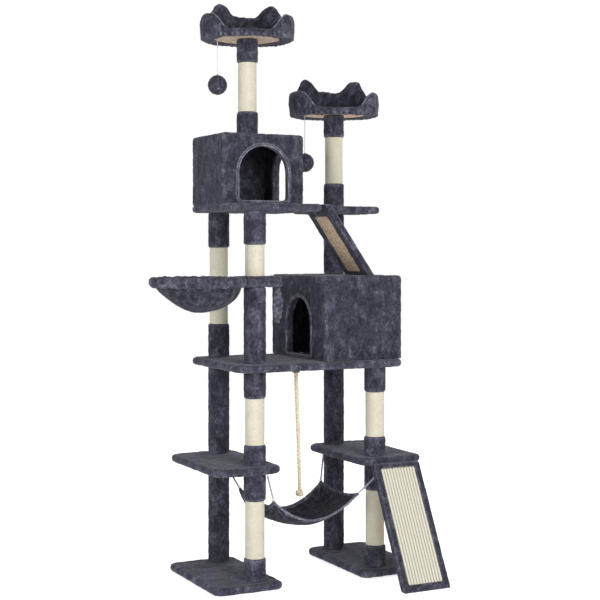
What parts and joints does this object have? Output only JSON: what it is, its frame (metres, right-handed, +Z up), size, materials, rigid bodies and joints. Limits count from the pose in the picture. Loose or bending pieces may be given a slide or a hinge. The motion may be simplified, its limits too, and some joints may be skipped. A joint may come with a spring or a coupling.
{
  "type": "cat tree",
  "caption": "Tall plush cat tree on four sisal posts with shelves, condos, swivel basket, hammock, perches, hanging rope, toy balls and two ramps.",
  "frame": {"origin": "floor level at the centre of the object's box", "axes": "+Z up, +X along the long side from the basket to the scratching ramp, +Y to the rear"},
  "size_m": [1.0669, 0.824, 2.156],
  "materials": {
    "plush": "short crushed pile, smoky blue-grey",
    "soft_cloth": "crushed plush cloth, dark grey",
    "ball_plush": "long plush pile, dark grey",
    "sisal": "wound cream sisal twine",
    "rope_fibre": "three-strand twisted sisal rope",
    "rope_cap": "brown moulded cap",
    "elastic_cord": "braided elastic, grey",
    "particle_board": "raw particle board",
    "bare_board": "raw chipboard, sanded",
    "cardboard_tube": "spiral wound cardboard",
    "plug_plastic": "moulded, black",
    "steel": "zinc plated"
  },
  "bodies": {
    "tree": {"base_left_board": "particle_board", "base_left_cover": "plush", "base_right_board": "particle_board", "base_right_cover": "plush", "bridge_ramp_board": "bare_board", "bridge_ramp_cover": "plush", "front_left_post_plush": "plush", "front_left_post_sisal": "sisal", "front_right_post_plush": "plush", "front_right_post_sisal": "sisal", "hammock_hooks": "steel", "joining_studs": "steel", "lower_condo_cover": "plush", "lower_condo_panels": "particle_board", "lower_left_shelf_board": "particle_board", "lower_left_shelf_cover": "plush", "lower_right_shelf_board": "particle_board", "lower_right_shelf_cover": "plush", "middle_deck_board": "particle_board", "middle_deck_cover": "plush", "post_bolts": "steel", "post_end_plugs": "plug_plastic", "post_tubes": "cardboard_tube", "rear_left_post_plush": "plush", "rear_left_post_sisal": "sisal", "rear_right_post_plush": "plush", "rear_right_post_sisal": "sisal", "rope_anchor": "rope_cap", "scratch_ramp_board": "bare_board", "scratch_ramp_cover": "plush", "scratch_ramp_sisal": "sisal", "side_perch_board": "bare_board", "side_perch_cushion": "plush", "side_shelf_board": "particle_board", "side_shelf_cover": "plush", "string_eyelets": "steel", "top_perch_board": "bare_board", "top_perch_cushion": "plush", "top_post_plush": "plush", "top_post_sisal": "sisal", "upper_condo_cover": "plush", "upper_condo_panels": "particle_board", "upper_deck_board": "particle_board", "upper_deck_cover": "plush"},
    "basket": {"basket_frame": "steel", "basket_frame_cover": "plush", "basket_cloth": "soft_cloth", "basket_tail": "soft_cloth"},
    "hammock": {"hammock_cloth": "soft_cloth", "hammock_cords": "elastic_cord"},
    "rope_link": {"rope_bead": "rope_fibre"},
    "rope": {"climbing_rope": "rope_fibre", "rope_end_knot": "rope_fibre"},
    "left_ball_link": {"left_ball_bead": "elastic_cord"},
    "left_ball": {"left_ball_string": "elastic_cord", "left_ball": "ball_plush"},
    "right_ball_link": {"right_ball_bead": "elastic_cord"},
    "right_ball": {"right_ball_string": "elastic_cord", "right_ball": "ball_plush"}
  },
  "joints": [
    {"name": "basket_swivel", "type": "hinge", "parent": "tree", "child": "basket", "pos_m": [-0.1415, -0.093, 1.0955], "axis": [0, 0, 1], "range_deg": [-40, 90]},
    {"name": "hammock_sink", "type": "slide", "parent": "tree", "child": "hammock", "axis": [0, 0, 1], "range_m": [-0.035, 0.004], "stiffness_N_per_m": 900, "deforming": ["hammock_cords"]},
    {"name": "rope_swing_front", "type": "hinge", "parent": "tree", "child": "rope_link", "pos_m": [0.0625, -0.014, 0.763], "axis": [1, 0, 0], "range_deg": [-12, 12]},
    {"name": "rope_swing_side", "type": "hinge", "parent": "rope_link", "child": "rope", "pos_m": [0.0625, -0.014, 0.763], "axis": [0, 1, 0], "range_deg": [-12, 12]},
    {"name": "left_ball_swing_out", "type": "hinge", "parent": "tree", "child": "left_ball_link", "pos_m": [-0.1735, 0.17, 1.9907], "axis": [0.1827, 0.9832, 0], "range_deg": [-9, 60]},
    {"name": "left_ball_swing_side", "type": "hinge", "parent": "left_ball_link", "child": "left_ball", "pos_m": [-0.1735, 0.17, 1.9907], "axis": [0.9832, -0.1827, 0], "range_deg": [-55, 55]},
    {"name": "right_ball_swing_out", "type": "hinge", "parent": "tree", "child": "right_ball_link", "pos_m": [0.2485, 0.279, 1.7297], "axis": [0.4086, 0.9127, 0], "range_deg": [-8, 25]},
    {"name": "right_ball_swing_side", "type": "hinge", "parent": "right_ball_link", "child": "right_ball", "pos_m": [0.2485, 0.279, 1.7297], "axis": [0.9127, -0.4086, 0], "range_deg": [-30, 30]}
  ]
}
